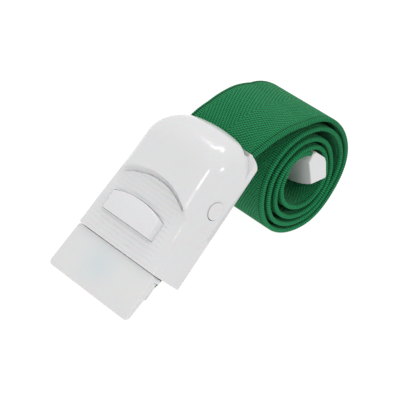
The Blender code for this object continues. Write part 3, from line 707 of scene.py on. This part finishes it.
def make_plug(material, inner_material):
    """The plug: a slab with soft edges whose top rises forwards, its lip, core and shoulders."""
    profile = [(0.0, 0.3), (0.1, 0.1), (0.3, 0.0)]
    for i in range(9):
        angle = math.pi / 2 * i / 8
        profile.append((-PLUG_EDGE * (1 - math.sin(angle)), PLUG_EDGE * (1 - math.cos(angle))))
    rings = []
    for k, (drop, inset) in enumerate(profile):
        ring = []
        for x, y in plug_outline(inset):
            top = ramp(x, ((PLUG_FRONT, PLUG_FRONT_TOP), (PLUG_REAR, PLUG_REAR_TOP)))
            ring.append((x, y, plug_bottom(x) + drop if k < 3 else top + drop))
        rings.append(ring)
    slab = piece("plug_slab", grid_mesh(rings), material, "plug",
                 hides=("plug_cap",), sharp=50)
    cut(slab, [block((SHOULDER_SLOT, SHOULDER_SLOT + SLOT_WIDTH), (side * 15.9, side * 18),
                     (7, 9.9)) for side in (-1, 1)])
    lip = block((PLUG_REAR + LIP_SPAN[0], PLUG_REAR + LIP_SPAN[1]), (-LIP_HALF, LIP_HALF),
                (PLUG_BOTTOM + 0.2, LIP_TOP))
    piece("plug_lip", lip, material, "plug", hides=("plug_cap",))
    make_plug_core(inner_material)
    tip = [(SHOULDER_RADIUS * math.cos(math.pi / 2 * i / 5),
            SHOULDER_HALF - 0.5 + 0.5 * math.sin(math.pi / 2 * i / 5))
           for i in range(5)] + [(0.05, SHOULDER_HALF)]
    profile = [(radius, -y) for radius, y in reversed(tip)] + tip
    shoulders = cross_turning(SHOULDER_X, SHOULDER_Z, profile, 24)
    piece("plug_shoulders", shoulders, material, "plug", hides=("plug_core",))


def make_plug_core(material):
    """The plug's inside: a plate, two rails that hold the strap's bar, and the latched tongue."""
    plate = block((5.4, 7.6), (-13.9, 13.9), (7.0, PLUG_BOTTOM + 0.1))
    core = piece("plug_inner", plate, material, "plug", hides=("plug_core",))
    parts = [
        block(TONGUE_ROOT, (-TONGUE_ROOT_HALF, TONGUE_ROOT_HALF), TONGUE_HEIGHT),
        block((16.5, TONGUE_END), (-TONGUE_HALF, TONGUE_HALF), TONGUE_HEIGHT),
        block((12.0, 12.9), (-RAIL_OUTER, RAIL_OUTER), (6.0, PLUG_BOTTOM + 0.1)),
    ]
    for side in (-1, 1):
        parts.append(block(RAIL_SPAN, sorted((side * RAIL_INNER, side * RAIL_OUTER)),
                           (RAIL_FOOT, PLUG_BOTTOM + 0.1)))
    cut(core, parts, "UNION")
    cut(core, [block(WINDOW_SPAN, (-WINDOW_HALF, WINDOW_HALF), (5.5, 8.5))])
    round_edges(core, CORE_ROUNDING)


# Strap

def to_ground(x, z):
    """Take a buckle point to the coil's frame."""
    point = (ORIGIN + (ALONG * x + UP * z) * MM) / MM
    return (point.x - CENTRING, point.z)


def catmull(points, steps):
    """Read a Catmull-Rom curve through points of any dimension."""
    points = [np.array(point, float) for point in points]
    ends = [points[0]] + points + [points[-1]]
    result = []
    for p0, p1, p2, p3 in zip(ends, ends[1:], ends[2:], ends[3:]):
        for step in range(steps):
            t = step / steps
            result.append(0.5 * (2 * p1 + (p2 - p0) * t + (2 * p0 - 5 * p1 + 4 * p2 - p3) * t * t
                                 + (3 * p1 - p0 - 3 * p2 + p3) * t ** 3))
    result.append(points[-1])
    return result


def coil_path():
    """The strap's middle round every turn, from the coil's top inwards, as (x, z, lean) points."""
    radii = [radius for turn in COIL_TURNS for radius in turn]
    knots = [(math.pi / 2 - math.pi / 4 * i, radius) for i, radius in enumerate(radii)]
    return [(COIL_X + radius * math.cos(angle), COIL_Z + radius * math.sin(angle),
             COIL_LEAN * ease(LEAN_RATE * (angle - LEAN_END)))
            for angle, radius in catmull(knots, 16)]


def even(points, spacing):
    """Space (x, z, lean) points evenly along the path they draw."""
    points = np.array(points)
    steps = np.linalg.norm(np.diff(points[:, :2], axis=0), axis=1)
    along = np.concatenate([[0.0], np.cumsum(steps)])
    count = max(int(along[-1] / spacing), 2)
    places = np.linspace(0.0, along[-1], count + 1)
    return np.stack([np.interp(places, along, points[:, k]) for k in range(3)], axis=1)


def section():
    """The strap's cross-section as (across, through), with round edges and a sunk line."""
    half, thick = STRAP_WIDTH / 2, STRAP_THICK / 2
    top = [(-half + STRAP_EDGE * (1 - math.cos(math.pi / 2 * i / 4)),
            thick - STRAP_EDGE * (1 - math.sin(math.pi / 2 * i / 4))) for i in range(5)]
    top += [(-half + LINE_INSET - 0.25, thick), (-half + LINE_INSET, thick - LINE_SINK),
            (-half + LINE_INSET + 0.3, thick)]
    top += [(-half + 2.6 + (STRAP_WIDTH - 5.2) * i / 8, thick) for i in range(9)]
    right = [(-y, z) for y, z in reversed(top[:8])]
    upper = top + right
    lower = [(y, -z) for y, z in reversed(upper)]
    return upper + lower


def ribbon(path):
    """Sweep the strap's section along (x, z, lean) points, where lean lifts the far edge.

    Returns the bmesh with its UV map and the length.
    """
    shape = section()
    bm = bmesh.new()
    layer = bm.loops.layers.uv.new("UVMap")
    rows, lengths = [], [0.0]
    for i, (x, z, lean) in enumerate(path):
        before, after = path[max(i - 1, 0)], path[min(i + 1, len(path) - 1)]
        along = Vector((after[0] - before[0], after[1] - before[1])).normalized()
        rise = lean * 2 / STRAP_WIDTH
        row = []
        for y, t in shape:
            lift = t + rise * y
            if i % 2 and abs(y) > STRAP_WIDTH / 2 - STRAP_EDGE:
                y -= math.copysign(SERRATION_DEPTH, y)
            row.append(bm.verts.new((x - along.y * lift, y, z + along.x * lift)))
        rows.append(row)
        if i:
            lengths.append(lengths[-1] + math.dist(path[i][:2], path[i - 1][:2]))
    count = len(shape)
    across = [y + STRAP_WIDTH / 2 for y, _ in shape]
    for i in range(len(rows) - 1):
        for k in range(count):
            j = (k + 1) % count
            face = bm.faces.new((rows[i][k], rows[i][j], rows[i + 1][j], rows[i + 1][k]))
            spots = ((i, k), (i, j), (i + 1, j), (i + 1, k))
            for loop, (row, column) in zip(face.loops, spots):
                loop[layer].uv = (lengths[row], across[column])
    bm.faces.new(rows[0])
    bm.faces.new(rows[-1])
    return bm, lengths[-1]


def strap_route():
    """Points of the strap's middle, plug to coil, round the coil, and on into the clip."""
    buckle_points = list(LOOP_POINTS) + [(x, STRAP_MID) for x in RUN_STATIONS]
    inside = [(*to_ground(x, z), 0.0) for x, z in buckle_points]
    inside.append((*to_ground(STRAP_EXIT, STRAP_MID - STRAP_EXIT_DROP), LEAD_LEAN))
    lead = [(x, z, LEAD_LEAN * share) for x, z, share in LEAD_POINTS]
    tail = [(COIL_X + x, COIL_Z + z, 0.0) for x, z in TAIL_POINTS]
    return inside + lead, coil_path(), tail


def make_strap(material):
    """The whole strap as one sheet of webbing, from the plug through the housing to the clip."""
    run, coil, tail = strap_route()
    route = catmull(run, 8) + [np.array(point) for point in coil] + catmull(tail, 8)
    path = even(route, SERRATION_PITCH / 2)
    bm, length = ribbon([tuple(point) for point in path])
    strap = piece("elastic_strap", bm, material, place=GROUND,
                  hides=("strap_loop", "strap_run", "strap_lead", "strap_coil", "strap_end"),
                  sharp=50)
    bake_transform(strap)


# End clip

def clip_outline(y):
    """Side view of the clip at y: a thick leaf whose lower end is round in front view."""
    foot = CLIP_FOOT + CLIP_ARC * (y / CLIP_HALF) ** 2
    right = [(ramp(-z, CLIP_RIGHT), z) for z in np.linspace(0.8, foot, 6)]
    left = [(ramp(-z, CLIP_LEFT), z) for z in np.linspace(foot + 0.2, 3.4, 6)]
    return list(CLIP_CREST) + right + left


def make_clip(material):
    """The clip on the strap's free end."""
    rows = []
    for y in np.linspace(-CLIP_HALF, CLIP_HALF, 31):
        rows.append([(COIL_X + x, y, COIL_Z + z) for x, z in clip_outline(y)])
    clip = piece("end_clip", grid_mesh(rows), material, "base", place=GROUND,
                 hides=("end_clip_inner", "end_clip_outer", "clip_pin_near", "clip_pin_far"),
                 sharp=30)
    round_edges(clip, 0.3)


# Finishes on the CAD nodes that stay

def dress_frame(warm, metal, thread):
    """Give the CAD nodes that still show their procedural materials."""
    finishes = {
        warm: ("base_frame", "pad_carrier"),
        metal: ("clamp_bar", "cover_spring_near", "cover_spring_far", "latch_leaf",
                "latch_rivet_near", "latch_rivet_far", "pad_spring", "strap_bar"),
        thread: ("loop_stitching",),
    }
    for material, names in finishes.items():
        for name in names:
            frame["nodes"][name].material_slots[0].material = material


# Stage

def make_floor():
    """A plain pale floor."""
    nodes = Nodes("floor")
    nodes.set(Base_Color=(*[FLOOR_ALBEDO] * 3, 1), Roughness=0.9, Specular_IOR_Level=0.0)
    nodes.set(Emission_Color=(1, 1, 1, 1), Emission_Strength=FLOOR_GLOW)
    bm = bmesh.new()
    bmesh.ops.create_grid(bm, x_segments=1, y_segments=1, size=3.0)
    mesh = bpy.data.meshes.new("floor")
    bm.to_mesh(mesh)
    bm.free()
    mesh.materials.append(nodes.material)
    floor = bpy.data.objects.new("floor", mesh)
    bpy.context.scene.collection.objects.link(floor)
    floor.location.z = min(cad_box[0].z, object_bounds()[0].z)


def soft_light(name, direction, size, radiance):
    """A rectangular area light that looks at the object from a direction."""
    data = bpy.data.lights.new(name, "AREA")
    data.shape = "RECTANGLE"
    data.size, data.size_y = size
    data.energy = radiance * math.pi * size[0] * size[1]
    light = bpy.data.objects.new(name, data)
    bpy.context.scene.collection.objects.link(light)
    away = Vector(direction).normalized()
    light.location = away * LIGHT_DISTANCE
    light.rotation_euler = (-away).to_track_quat("-Z", "Y").to_euler()


def make_surround():
    """An even white tent all round."""
    world = bpy.data.worlds.new("surround")
    world.use_nodes = True
    background = world.node_tree.nodes["Background"]
    background.inputs["Color"].default_value = (1, 1, 1, 1)
    background.inputs["Strength"].default_value = TENT_LEVEL
    bpy.context.scene.world = world


def make_lights():
    """The tent, a weak front panel and four small lamps that glint on the rolled edges."""
    make_surround()
    for lamp in LAMPS:
        soft_light(*lamp)
    bpy.context.scene.view_settings.view_transform = "Standard"


def make_camera():
    """A long lens at the photograph's angle."""
    azimuth, elevation = math.radians(VIEW_AZIMUTH), math.radians(VIEW_ELEVATION)
    back = Vector((math.sin(azimuth) * math.cos(elevation),
                   -math.cos(azimuth) * math.cos(elevation), math.sin(elevation)))
    data = bpy.data.cameras.new("camera")
    data.lens = VIEW_LENS
    data.sensor_width = 36.0
    camera = bpy.data.objects.new("camera", data)
    bpy.context.scene.collection.objects.link(camera)
    camera.location = (Vector(VIEW_TARGET) + back * VIEW_DISTANCE) * MM
    camera.rotation_euler = (-back).to_track_quat("-Z", "Y").to_euler()
    bpy.context.scene.camera = camera


def main():
    make_camera()
    white = plastic("white_plastic", HOUSING_WHITE, 0.2)
    warm = plastic("inner_plastic", INNER_WHITE, 0.32)
    green = webbing("green_webbing")
    metal = steel("spring_steel")
    make_cover(white)
    make_pad(plastic("pad_plastic", PAD_WHITE, 0.2))
    make_studs(white)
    # The plug's plastic carries a painted reflection in the middle of its top
    make_plug(plastic("plug_plastic", PLUG_WHITE, 0.2, painted_reflection=PLUG_PAINTED_REFLECTION), warm)
    make_strap(green)
    make_clip(white)
    dress_frame(warm, metal, green)
    make_floor()
    make_lights()


main()
